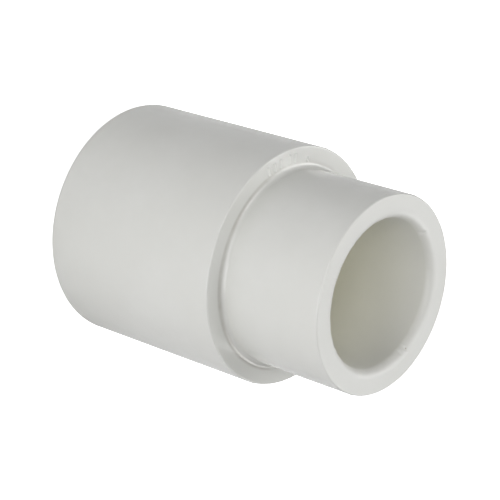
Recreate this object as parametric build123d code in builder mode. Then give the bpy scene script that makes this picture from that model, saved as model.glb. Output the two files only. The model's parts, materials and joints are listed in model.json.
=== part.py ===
"""Reducing coupling, 1 in x 3/4 in, rigid PVC, with a solvent-weld socket at each end.

It is one injection moulding.  It stands on the mouth of its large socket: the
origin is the centre of that mouth's face, and +Z runs up the axis to the mouth
of the small socket.  Lengths are in millimetres and angles in degrees.
"""

import os

from build123d import *

# Sockets: diameters half-way down their slight taper, and depths to the pipe stops
large_socket_diameter = 33.46
small_socket_diameter = 26.72
large_socket_depth = 28.6
small_socket_depth = 25.4

# Web between the two pipe stops, and the waterway that narrows through it
web_thickness = 6.35
waterway_large_diameter = 24.3
waterway_small_diameter = 18.85

# Outside of the two barrels
large_barrel_diameter = 43.7
small_barrel_diameter = 35.8
large_barrel_length = 39.2

# Moulded edges
mouth_inner_round = 1.7
large_mouth_outer_round = 0.9
small_mouth_outer_round = 0.35
shoulder_outer_round = 0.3
shoulder_root_fillet = 0.9
pipe_stop_round = 0.6

# Raised bars and a pip on the shoulder, as a mould leaves them
mark_height = 0.3
mark_root_depth = 0.3
mark_ring_radius = 19.95
bar_length = 1.7
bar_width = 0.45
bar_angles = (-136.0, -140.5, -145.0, -151.5, -156.0)
pip_ring_radius = 19.4
pip_radius = 0.45
pip_angle = -166.0

# Worked out from the sizes above
small_stop_height = large_socket_depth + web_thickness
total_length = small_stop_height + small_socket_depth
large_barrel_radius = large_barrel_diameter / 2
small_barrel_radius = small_barrel_diameter / 2
large_socket_radius = large_socket_diameter / 2
small_socket_radius = small_socket_diameter / 2
waterway_large_radius = waterway_large_diameter / 2
waterway_small_radius = waterway_small_diameter / 2

# Corners of the wall's half section, as (radius, height)
large_mouth_inner = (large_socket_radius, 0)
large_mouth_outer = (large_barrel_radius, 0)
shoulder_outer = (large_barrel_radius, large_barrel_length)
shoulder_root = (small_barrel_radius, large_barrel_length)
small_mouth_outer = (small_barrel_radius, total_length)
small_mouth_inner = (small_socket_radius, total_length)
small_socket_floor = (small_socket_radius, small_stop_height)
small_pipe_stop = (waterway_small_radius, small_stop_height)
large_pipe_stop = (waterway_large_radius, large_socket_depth)
large_socket_floor = (large_socket_radius, large_socket_depth)

corner_rounds = (
    (large_mouth_inner, mouth_inner_round),
    (large_mouth_outer, large_mouth_outer_round),
    (shoulder_outer, shoulder_outer_round),
    (shoulder_root, shoulder_root_fillet),
    (small_mouth_outer, small_mouth_outer_round),
    (small_mouth_inner, mouth_inner_round),
    (small_pipe_stop, pipe_stop_round),
    (large_pipe_stop, pipe_stop_round),
)

with BuildPart() as coupling_body:
    # The wall's half section, turned about the axis
    with BuildSketch(Plane.XZ) as wall_section:
        with BuildLine():
            Polyline(
                large_mouth_inner,
                large_mouth_outer,
                shoulder_outer,
                shoulder_root,
                small_mouth_outer,
                small_mouth_inner,
                small_socket_floor,
                small_pipe_stop,
                large_pipe_stop,
                large_socket_floor,
                close=True,
            )
        make_face()
        for corner, round_radius in corner_rounds:
            fillet(wall_section.vertices().sort_by_distance(corner)[0], radius=round_radius)
    revolve(axis=Axis.Z)

    # Moulded marks stand up from the shoulder and are rooted inside it
    with BuildSketch(Plane.XY.offset(large_barrel_length - mark_root_depth)):
        for bar_angle in bar_angles:
            with PolarLocations(mark_ring_radius, 1, start_angle=bar_angle):
                Rectangle(bar_length, bar_width)
        with PolarLocations(pip_ring_radius, 1, start_angle=pip_angle):
            Circle(pip_radius)
    extrude(amount=mark_root_depth + mark_height)

coupling_body.part.label = "coupling_body"

os.makedirs("parts", exist_ok=True)
export_step(coupling_body.part, "parts/coupling_body.step")
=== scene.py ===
"""Studio picture of a white PVC reducing coupling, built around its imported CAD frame.

Lengths are in metres and angles in degrees, unless a name says otherwise.  The
fitting stands on the mouth of its large socket, and its axis is +Z.  The camera
is rolled, so that the fitting lies across the picture.
"""

import json
from math import cos, exp, hypot, radians, sin

import bmesh
import bpy
from mathutils import Matrix, Vector, noise


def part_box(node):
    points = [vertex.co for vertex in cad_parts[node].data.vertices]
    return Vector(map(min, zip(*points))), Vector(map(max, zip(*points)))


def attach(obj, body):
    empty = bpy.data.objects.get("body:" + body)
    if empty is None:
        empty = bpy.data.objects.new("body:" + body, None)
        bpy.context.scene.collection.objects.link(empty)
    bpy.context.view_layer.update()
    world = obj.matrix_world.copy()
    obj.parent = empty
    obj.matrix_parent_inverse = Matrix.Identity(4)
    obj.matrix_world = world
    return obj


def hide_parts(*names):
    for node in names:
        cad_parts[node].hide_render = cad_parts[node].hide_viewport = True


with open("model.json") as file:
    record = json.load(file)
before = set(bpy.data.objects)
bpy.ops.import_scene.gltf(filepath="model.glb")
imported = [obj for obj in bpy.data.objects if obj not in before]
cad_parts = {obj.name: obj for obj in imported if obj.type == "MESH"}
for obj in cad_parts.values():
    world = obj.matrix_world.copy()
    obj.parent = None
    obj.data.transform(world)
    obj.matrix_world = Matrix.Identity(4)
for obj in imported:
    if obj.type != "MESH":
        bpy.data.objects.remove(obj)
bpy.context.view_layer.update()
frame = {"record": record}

MM = 0.001

# Sizes that the frame gives: the high corner of the node's box and the two socket mounts
body_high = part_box("coupling_body")[1]
mounts = {mount["name"]: mount for mount in frame["record"]["mounts"]}
large_barrel_radius = body_high.x
total_length = body_high.z
large_socket_radius = mounts["large_socket"]["dims"]["r_mm"] * MM
small_socket_radius = mounts["small_socket"]["dims"]["r_mm"] * MM

# The rest of the wall's section, as the CAD part has it
small_barrel_radius = 17.9 * MM
shoulder_height = 39.2 * MM
large_stop_height = 28.6 * MM
small_stop_height = 34.95 * MM
waterway_large_radius = 12.15 * MM
waterway_small_radius = 9.425 * MM
mouth_inner_round = 1.7 * MM
large_mouth_outer_round = 0.9 * MM
small_mouth_outer_round = 0.35 * MM
shoulder_outer_round = 0.3 * MM
shoulder_root_fillet = 0.9 * MM
pipe_stop_round = 0.6 * MM
socket_floor_fillet = 0.15 * MM

# Moulded marks on the shoulder, as the CAD part has them
mark_height = 0.3 * MM
mark_ring_radius = 19.95 * MM
bar_length = 1.7 * MM
bar_width = 0.45 * MM
bar_angles = (-136.0, -140.5, -145.0, -151.5, -156.0)
pip_ring_radius = 19.4 * MM
pip_radius = 0.45 * MM
pip_angle = -166.0
mark_edge = 0.12 * MM

# What the mould leaves on the outside: two parting lines, a gate scar and a slow waviness
parting_angles = (0.0, 180.0)
parting_height = 0.05 * MM
parting_width = 0.16 * MM
gate_angle = 90.0
gate_place = 19.0 * MM
gate_length = 3.2 * MM
gate_width = 2.2 * MM
gate_height = 0.18 * MM
gate_rim_share = 0.5
waves = (
    # height, cycles round the axis and their phase, radians per metre up it and their phase
    (0.02 * MM, 2, 0.6, 95, 0.4),
    (0.01 * MM, 5, 0.0, 210, 0.0),
)

# Wear on the small mouth's inner edge: a ragged line all round, a nick and two scrapes
worn_line_inset = mouth_inner_round / 3
rag_height = 0.09 * MM
rag_reach = 0.7 * MM
rag_scale = 9
rag_fine_scale = 3.1
rag_fine_share = 0.6
dents = (
    # angle, width in degrees, height, length, depth
    (153.5, 1.8, total_length - 0.6 * MM, 0.45 * MM, 0.35 * MM),
    (56.0, 1.5, total_length - 0.5 * MM, 0.4 * MM, 0.35 * MM),
    (50.5, 1.8, total_length - 0.6 * MM, 0.4 * MM, 0.25 * MM),
)

# A noise is given as its scale per metre, its detail and its roughness.  A noise's range
# is the part of its values that is used.

# Tone of the plastic outside: slow clouds and a fine mottle
outer_light = (0.830, 0.833, 0.803)
outer_dark = (0.808, 0.810, 0.776)
cloud_noise = (60, 3, 0.5)
cloud_range = (0.35, 0.65)
mottle_tone = (0.795, 0.797, 0.765)
mottle_noise = (420, 2, 0.5)
mottle_range = (0.2, 0.8)
mottle_strength = 0.35

# Tone inside the sockets, painted shade near the mouth and painted light deeper in: it changes
# with depth, and fades out across the mouth's inner round
bore_mouth_painted_shade = (0.77, 0.77, 0.735)
bore_deep_painted_light = (0.925, 0.912, 0.80)
bore_depths = (3.0 * MM, 20.0 * MM)
bore_fade = (1.1 * MM, 0.45 * MM)
bore_change_length = 2.0 * MM

# Painted shade in the crease at the foot of the small barrel: a patchy dark ring at the fillet's
# outer edge, stronger on one side
root_shade_tone = (0.50, 0.48, 0.44)
root_shade_strength = 0.62
root_shade_ring_radius = 18.75 * MM
root_shade_reach = 0.7 * MM
root_shade_core = 0.1 * MM
root_shade_noise = (300, 3, 0.6)
root_shade_range = (0.3, 0.7)
root_shade_thinnest = 0.6
root_shade_side = (0.45, -0.9)
root_shade_side_range = (1.0 * MM, 10.0 * MM)
root_shade_other_side = 0.3

# A speck of dirt in one of the scrapes
speck_tone = (0.42, 0.36, 0.29)
speck_angle = 56.5
speck_ring_radius = 14.05 * MM
speck_depth = 0.45 * MM
speck_radius = 0.1 * MM
speck_blur = 1.8

# Finish: roughness that varies, faint scuffs, and matter mouths and sockets
plastic_ior = 1.54
roughness_low = 0.17
roughness_high = 0.24
roughness_noise = (90, 2, 0.5)
roughness_range = (0.2, 0.8)
scuff_noise = (1, 2, 0.5)
scuff_range = (0.60, 0.85)
scuff_roughness = 0.05
scuff_squeeze = (90, 1500, 160)
scuff_turn_radians = (0.3, 0.5, 0.9)
mouth_roughness = 0.24
mouth_fade = (4.5 * MM, 4.2 * MM)

# Relief of the finish: orange peel over slow ripples
peel_noise = (1300, 3, 0.55)
peel_share = 0.5
ripple_noise = (210, 2, 0.5)
ripple_share = 1.2
bump_height = 0.03 * MM
bump_strength = 0.7

# Mesh spacing
coarse_step = 2.5 * MM
fine_step = 0.1 * MM
edge_step = 0.08 * MM
arc_steps = 10
turn_step = 1.0
fine_turns = (
    # first, last, step
    (-171.0, -132.5, 0.25),
    (-1.5, 1.5, 0.1),
    (178.5, 181.5, 0.1),
    (82.0, 98.0, 0.5),
    (50.0, 60.0, 0.25),
    (149.0, 158.0, 0.25),
)


def rounded(before, corner, after, radius):
    """Points round one corner of an outline: a support point, the arc, a support point."""
    to_before = (before - corner).normalized()
    to_after = (after - corner).normalized()
    half_angle = to_before.angle(to_after) / 2
    tangent_length = radius * cos(half_angle) / sin(half_angle)
    centre = corner + (to_before + to_after).normalized() * (radius / sin(half_angle))
    start = corner + to_before * tangent_length - centre
    end = corner + to_after * tangent_length - centre
    turn = start.angle_signed(end)
    arc = []
    for i in range(arc_steps + 1):
        arc.append(centre + Matrix.Rotation(-turn * i / arc_steps, 2) @ start)
    return [arc[0] + to_before * edge_step, *arc, arc[-1] + to_after * edge_step]


def wall_outline():
    """The wall's closed half section as (radius, height) points."""
    corners = (
        # radius, height, round, spacing of the points on the run that follows
        (large_socket_radius, 0, mouth_inner_round, coarse_step),
        (large_barrel_radius, 0, large_mouth_outer_round, coarse_step),
        (large_barrel_radius, shoulder_height, shoulder_outer_round, fine_step),
        (small_barrel_radius, shoulder_height, shoulder_root_fillet, coarse_step),
        (small_barrel_radius, total_length, small_mouth_outer_round, coarse_step),
        (small_socket_radius, total_length, mouth_inner_round, coarse_step),
        (small_socket_radius, small_stop_height, socket_floor_fillet, coarse_step),
        (waterway_small_radius, small_stop_height, pipe_stop_round, coarse_step),
        (waterway_large_radius, large_stop_height, pipe_stop_round, coarse_step),
        (large_socket_radius, large_stop_height, socket_floor_fillet, coarse_step),
    )
    points = [Vector(corner[:2]) for corner in corners]
    rounds = [
        rounded(points[i - 1], points[i], points[(i + 1) % len(points)], corners[i][2])
        for i in range(len(points))
    ]
    outline = []
    for i, corner in enumerate(corners):
        outline += rounds[i]
        run_start = rounds[i][-1]
        run_end = rounds[(i + 1) % len(points)][0]
        pieces = max(1, round((run_end - run_start).length / corner[3]))
        outline += [run_start.lerp(run_end, k / pieces) for k in range(1, pieces)]
    return outline


def turn_angles():
    """Angles of the mesh's columns: even all round, and closer where the detail is."""
    spans = [(-180.0, 180.0 - turn_step, turn_step), *fine_turns]
    angles = set()
    for first, last, step in spans:
        for i in range(round((last - first) / step) + 1):
            angle = (first + i * step + 180.0) % 360.0 - 180.0
            angles.add(round(angle, 3))
    return sorted(angles)


def soft_step(distance, width):
    """1 inside an edge and 0 outside it, with a smooth slope of the given width."""
    t = min(1.0, max(0.0, 0.5 - distance / width))
    return t * t * (3 - 2 * t)


def angle_between(a, b):
    """The turn from angle b to angle a, from -180 up to 180."""
    return (a - b + 180.0) % 360.0 - 180.0


def mark_relief(radius, angle):
    """Height of the raised bars and the pip above the shoulder."""
    inside = -hypot(
        radius * cos(radians(angle)) - pip_ring_radius * cos(radians(pip_angle)),
        radius * sin(radians(angle)) - pip_ring_radius * sin(radians(pip_angle)),
    ) + pip_radius
    for bar_angle in bar_angles:
        sideways = abs(radius * radians(angle_between(angle, bar_angle)))
        along = abs(radius - mark_ring_radius)
        inside = max(inside, min(bar_width / 2 - sideways, bar_length / 2 - along))
    return mark_height * soft_step(-inside, mark_edge)


def mould_relief(height, angle):
    """Height of the parting lines, the gate scar and the waviness on the outside."""
    relief = 0.0
    for wave_height, cycles, round_phase, rise, rise_phase in waves:
        round_wave = sin(radians(cycles * angle) + round_phase)
        relief += wave_height * round_wave * sin(rise * height + rise_phase)
    for parting_angle in parting_angles:
        sideways = large_barrel_radius * radians(angle_between(angle, parting_angle))
        relief += parting_height * exp(-((sideways / (parting_width / 2)) ** 2))
    across = large_barrel_radius * radians(angle_between(angle, gate_angle)) / (gate_width / 2)
    along = (height - gate_place) / (gate_length / 2)
    relief += gate_height * soft_step(hypot(across, along) - 1, gate_rim_share)
    return relief


def edge_wear(radius, height, angle):
    """How far the small mouth's inner edge is worn back towards the wall."""
    turned = Vector((cos(radians(angle)), sin(radians(angle)), 0)) * rag_scale
    ragged = noise.noise(turned) + rag_fine_share * noise.noise(turned * rag_fine_scale)
    edge = hypot(
        radius - small_socket_radius - worn_line_inset,
        height - total_length + worn_line_inset,
    )
    wear = rag_height * ragged * exp(-((edge / rag_reach) ** 2))
    for dent_angle, width, dent_height, length, depth in dents:
        across = angle_between(angle, dent_angle) / width
        along = (height - dent_height) / length
        wear += depth * exp(-(across**2 + along**2))
    return wear


def is_mouth_edge(radius, height):
    """Whether a point of the section is on the round inside the small mouth."""
    return height > total_length - mouth_inner_round - edge_step and (
        radius < small_socket_radius + mouth_inner_round + edge_step
    )


def is_shoulder(radius, height):
    """Whether a point of the section is on the flat of the shoulder."""
    return abs(height - shoulder_height) < edge_step and (
        small_barrel_radius + shoulder_root_fillet < radius < large_barrel_radius - edge_step
    )


def is_outside(radius, height):
    """Whether a point of the section is on the outside of either barrel."""
    barrel_radius = small_barrel_radius if height > shoulder_height else large_barrel_radius
    return radius > barrel_radius - edge_step


def coupling_mesh():
    """The whole fitting as one closed turned surface with its moulded detail."""
    outline = wall_outline()
    angles = turn_angles()
    form = bmesh.new()
    columns = []
    for angle in angles:
        column = []
        for radius, height in outline:
            if is_shoulder(radius, height):
                height += mark_relief(radius, angle)
            elif is_outside(radius, height):
                radius += mould_relief(height, angle)
            elif is_mouth_edge(radius, height):
                radius += edge_wear(radius, height, angle)
            place = (radius * cos(radians(angle)), radius * sin(radians(angle)), height)
            column.append(form.verts.new(place))
        columns.append(column)
    for i, column in enumerate(columns):
        before = columns[i - 1]
        for j in range(len(outline)):
            k = (j + 1) % len(outline)
            form.faces.new((before[j], column[j], column[k], before[k]))
    bmesh.ops.recalc_face_normals(form, faces=form.faces)
    mesh = bpy.data.meshes.new("coupling")
    form.to_mesh(mesh)
    form.free()
    mesh.shade_smooth()
    return mesh


# Places of a mix node's colour sockets, which share their names with its other sockets
mix_first_colour = 6
mix_second_colour = 7
mix_colour_result = 2


class Shading:
    """Builds a material's node tree.

    A method that works something out adds the nodes that it needs, and returns the
    output socket that holds the result.
    """

    def __init__(self, name):
        self.material = bpy.data.materials.new(name)
        self.material.use_nodes = True
        self.tree = self.material.node_tree
        self.shader = self.tree.nodes["Principled BSDF"]
        self.place = self.tree.nodes.new("ShaderNodeTexCoord").outputs["Object"]

    def put(self, socket, value):
        """Links another node's output to a socket, or sets the socket to a plain value."""
        if isinstance(value, bpy.types.NodeSocket):
            self.tree.links.new(value, socket)
        elif isinstance(value, tuple) and len(value) == 3 and socket.type == "RGBA":
            socket.default_value = (*value, 1.0)
        else:
            socket.default_value = value

    def math(self, operation, *values):
        node = self.tree.nodes.new("ShaderNodeMath")
        node.operation = operation
        for socket, value in zip(node.inputs, values):
            self.put(socket, value)
        return node.outputs["Value"]

    def length(self, a, b):
        """How far the point (a, b) is from zero."""
        squares = [self.math("MULTIPLY", side, side) for side in (a, b)]
        return self.math("SQRT", self.math("ADD", *squares))

    def ramp(self, value, low, high, low_to=0.0, high_to=1.0, smooth=False):
        node = self.tree.nodes.new("ShaderNodeMapRange")
        node.interpolation_type = "SMOOTHSTEP" if smooth else "LINEAR"
        for name, number in (
            ("Value", value),
            ("From Min", low),
            ("From Max", high),
            ("To Min", low_to),
            ("To Max", high_to),
        ):
            self.put(node.inputs[name], number)
        return node.outputs["Result"]

    def mix(self, factor, first, second):
        """The first colour at factor 0, and the second at factor 1."""
        node = self.tree.nodes.new("ShaderNodeMix")
        node.data_type = "RGBA"
        self.put(node.inputs["Factor"], factor)
        self.put(node.inputs[mix_first_colour], first)
        self.put(node.inputs[mix_second_colour], second)
        return node.outputs[mix_colour_result]

    def noise(self, scale, detail, roughness, vector=None):
        node = self.tree.nodes.new("ShaderNodeTexNoise")
        node.inputs["Scale"].default_value = scale
        node.inputs["Detail"].default_value = detail
        node.inputs["Roughness"].default_value = roughness
        self.put(node.inputs["Vector"], vector or self.place)
        return node.outputs["Fac"]

    def stretched(self, squeeze, turn):
        """The object's coordinates, squeezed and turned, so that a noise runs in streaks."""
        node = self.tree.nodes.new("ShaderNodeMapping")
        node.inputs["Rotation"].default_value = turn
        node.inputs["Scale"].default_value = squeeze
        self.put(node.inputs["Vector"], self.place)
        return node.outputs["Vector"]


def pvc_material():
    """Semi-gloss moulded white PVC, yellower and with painted light and shade in the sockets, and
    painted shade at the shoulder's root.
    """
    pvc = Shading("white_pvc")
    split = pvc.tree.nodes.new("ShaderNodeSeparateXYZ")
    pvc.put(split.inputs["Vector"], pvc.place)
    x, y, z = (split.outputs[axis] for axis in "XYZ")
    radius = pvc.length(x, y)

    # Slow clouds of tone and a fine mottle from the melt's flow
    clouds = pvc.ramp(pvc.noise(*cloud_noise), *cloud_range, smooth=True)
    tone = pvc.mix(clouds, outer_light, outer_dark)
    mottle = pvc.ramp(pvc.noise(*mottle_noise), *mottle_range, smooth=True)
    tone = pvc.mix(pvc.math("MULTIPLY", mottle, mottle_strength), tone, mottle_tone)

    # Inside the sockets the plastic is paler and yellower the deeper it is.  The paler depths are
    # painted light that makes up for the shade inside, and the darker tone near the mouth is
    # painted shade.  The bore counts as wide as the large socket until just under the shoulder.
    shallow, deep = bore_depths
    depth_small = pvc.ramp(z, total_length - shallow, total_length - deep)
    depth_large = pvc.ramp(z, shallow, deep)
    # Painted shade near the mouth, painted light deeper in
    bore_painted_tone = pvc.mix(pvc.math("MINIMUM", depth_small, depth_large), bore_mouth_painted_shade, bore_deep_painted_light)
    bore_radii = (large_socket_radius, small_socket_radius)
    bore_change = (shoulder_height - bore_change_length, shoulder_height)
    bore_radius = pvc.ramp(z, *bore_change, *bore_radii)
    from_bore = pvc.math("SUBTRACT", radius, bore_radius)
    inside = pvc.ramp(from_bore, *bore_fade, smooth=True)
    tone = pvc.mix(inside, tone, bore_painted_tone)

    # Painted shade lies in patches in the crease at the foot of the small barrel
    from_ring = pvc.length(
        pvc.math("SUBTRACT", radius, root_shade_ring_radius),
        pvc.math("SUBTRACT", z, shoulder_height),
    )
    patchy = pvc.ramp(pvc.noise(*root_shade_noise), *root_shade_range, root_shade_thinnest, 1.0)
    root_shade = pvc.math("MULTIPLY", pvc.ramp(from_ring, root_shade_reach, root_shade_core, smooth=True), patchy)
    side_x, side_y = root_shade_side
    sideways = pvc.math("ADD", pvc.math("MULTIPLY", x, side_x), pvc.math("MULTIPLY", y, side_y))
    root_shade_side_share = pvc.ramp(sideways, *root_shade_side_range, root_shade_other_side, 1.0, smooth=True)
    root_shade = pvc.math("MULTIPLY", root_shade, root_shade_side_share)
    # The painted shade at the shoulder's root darkens the tone here
    tone = pvc.mix(pvc.math("MULTIPLY", root_shade, root_shade_strength), tone, root_shade_tone)

    # One speck of dirt sits in a scrape on the small mouth's inner edge
    speck_place = (
        speck_ring_radius * cos(radians(speck_angle)),
        speck_ring_radius * sin(radians(speck_angle)),
        total_length - speck_depth,
    )
    distance = pvc.tree.nodes.new("ShaderNodeVectorMath")
    distance.operation = "DISTANCE"
    pvc.put(distance.inputs[0], pvc.place)
    distance.inputs[1].default_value = speck_place
    speck_edge = (speck_blur * speck_radius, speck_radius)
    speck = pvc.ramp(distance.outputs["Value"], *speck_edge, smooth=True)
    tone = pvc.mix(speck, tone, speck_tone)
    pvc.put(pvc.shader.inputs["Base Color"], tone)

    # The gloss varies a little, handling has left faint scuffs, and the mouths are matter
    roughness = pvc.ramp(
        pvc.noise(*roughness_noise), *roughness_range, roughness_low, roughness_high
    )
    scuffs = pvc.noise(*scuff_noise, pvc.stretched(scuff_squeeze, scuff_turn_radians))
    scuffs = pvc.ramp(scuffs, *scuff_range, smooth=True)
    roughness = pvc.math("ADD", roughness, pvc.math("MULTIPLY", scuffs, scuff_roughness))
    matter = pvc.ramp(from_bore, *mouth_fade, 0.0, mouth_roughness, smooth=True)
    pvc.put(pvc.shader.inputs["Roughness"], pvc.math("ADD", roughness, matter))
    pvc.shader.inputs["IOR"].default_value = plastic_ior

    # A very fine orange peel over slow ripples
    relief = pvc.math(
        "ADD",
        pvc.math("MULTIPLY", pvc.noise(*peel_noise), peel_share),
        pvc.math("MULTIPLY", pvc.noise(*ripple_noise), ripple_share),
    )
    bump = pvc.tree.nodes.new("ShaderNodeBump")
    bump.inputs["Distance"].default_value = bump_height
    bump.inputs["Strength"].default_value = bump_strength
    pvc.put(bump.inputs["Height"], relief)
    pvc.put(pvc.shader.inputs["Normal"], bump.outputs["Normal"])
    return pvc.material


def seen_only(tree, strength):
    """A strength that counts for what is seen directly, and is 0 for lighting other things."""
    path = tree.nodes.new("ShaderNodeLightPath")
    node = tree.nodes.new("ShaderNodeMapRange")
    node.inputs["To Max"].default_value = strength
    tree.links.new(path.outputs["Is Camera Ray"], node.inputs["Value"])
    return node.outputs["Result"]


def table_material():
    """Matt white table, seen nearly as white as overexposed paper, with faint shadows."""
    material = bpy.data.materials.new("white_table")
    material.use_nodes = True
    shader = material.node_tree.nodes["Principled BSDF"]
    shader.inputs["Base Color"].default_value = table_tone
    shader.inputs["Roughness"].default_value = table_roughness
    shader.inputs["Emission Color"].default_value = white
    glow = seen_only(material.node_tree, table_glow)
    material.node_tree.links.new(glow, shader.inputs["Emission Strength"])
    return material


def add_object(name, data):
    """A new object in the scene, holding the given mesh, light or camera."""
    piece = bpy.data.objects.new(name, data)
    bpy.context.scene.collection.objects.link(piece)
    return piece


def add_softbox(name, azimuth, elevation, power):
    """A square area light that faces the fitting, with its power in watts."""
    data = bpy.data.lights.new(name, "AREA")
    data.shape = "SQUARE"
    data.size = softbox_size
    data.energy = power
    light = add_object(name, data)
    direction = Vector(
        (
            cos(radians(elevation)) * cos(radians(azimuth)),
            cos(radians(elevation)) * sin(radians(azimuth)),
            sin(radians(elevation)),
        )
    )
    centre = Vector((0, 0, total_length / 2))
    light.location = centre + direction * softbox_distance
    light.rotation_euler = direction.to_track_quat("Z", "Y").to_euler()


# The fitting
coupling = add_object("coupling", coupling_mesh())
coupling.data.materials.append(pvc_material())
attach(coupling, "root")
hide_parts("coupling_body")

# The table
white = (1.0, 1.0, 1.0, 1.0)
table_tone = (0.85, 0.85, 0.85, 1.0)
table_roughness = 0.8
table_glow = 0.85
table_half_width = 6.0
table_form = bmesh.new()
bmesh.ops.create_grid(table_form, x_segments=1, y_segments=1, size=table_half_width)
table_mesh = bpy.data.meshes.new("table")
table_form.to_mesh(table_mesh)
table_form.free()
table_mesh.materials.append(table_material())
table = add_object("table", table_mesh)

# The light: softboxes all round, and a white backdrop that is seen but lights nothing
backdrop_glow = 1.0
world = bpy.data.worlds.new("studio")
world.use_nodes = True
background = world.node_tree.nodes["Background"]
background.inputs["Color"].default_value = white
glow = seen_only(world.node_tree, backdrop_glow)
world.node_tree.links.new(glow, background.inputs["Strength"])
bpy.context.scene.world = world

softbox_size = 0.28
softbox_distance = 0.6
softboxes = (
    # name, azimuth, elevation, watts
    ("front", -90.0, 40.0, 0.82),
    ("front low", -60.0, 12.0, 1.14),
    ("front right", -60.0, 40.0, 0.29),
    ("over left", 180.0, 65.0, 0.98),
    ("back left", 120.0, 40.0, 1.09),
    ("back right", 60.0, 40.0, 0.90),
)
for name, azimuth, elevation, power in softboxes:
    add_softbox(name, azimuth, elevation, power)

# The camera: it looks along +Y and down, and is rolled about its line of sight
camera_elevation = 38.951
camera_roll = 107.43
camera_distance = 354.2 * MM
camera_aim = Vector((-0.544, 0.0, 29.141)) * MM
camera_lens_mm = 140.97
sensor_width_mm = 36.0
clip_near = 0.01
clip_far = 100.0

camera_data = bpy.data.cameras.new("camera")
camera_data.lens = camera_lens_mm
camera_data.sensor_width = sensor_width_mm
camera_data.clip_start = clip_near
camera_data.clip_end = clip_far
camera = add_object("camera", camera_data)
away = Vector((0, -cos(radians(camera_elevation)), sin(radians(camera_elevation))))
upright = Matrix.Rotation(radians(90 - camera_elevation), 4, "X")
rolled = Matrix.Rotation(radians(camera_roll), 4, "Z")
camera.matrix_world = Matrix.Translation(camera_aim + away * camera_distance) @ upright @ rolled
bpy.context.scene.camera = camera
bpy.context.scene.view_settings.view_transform = "Standard"
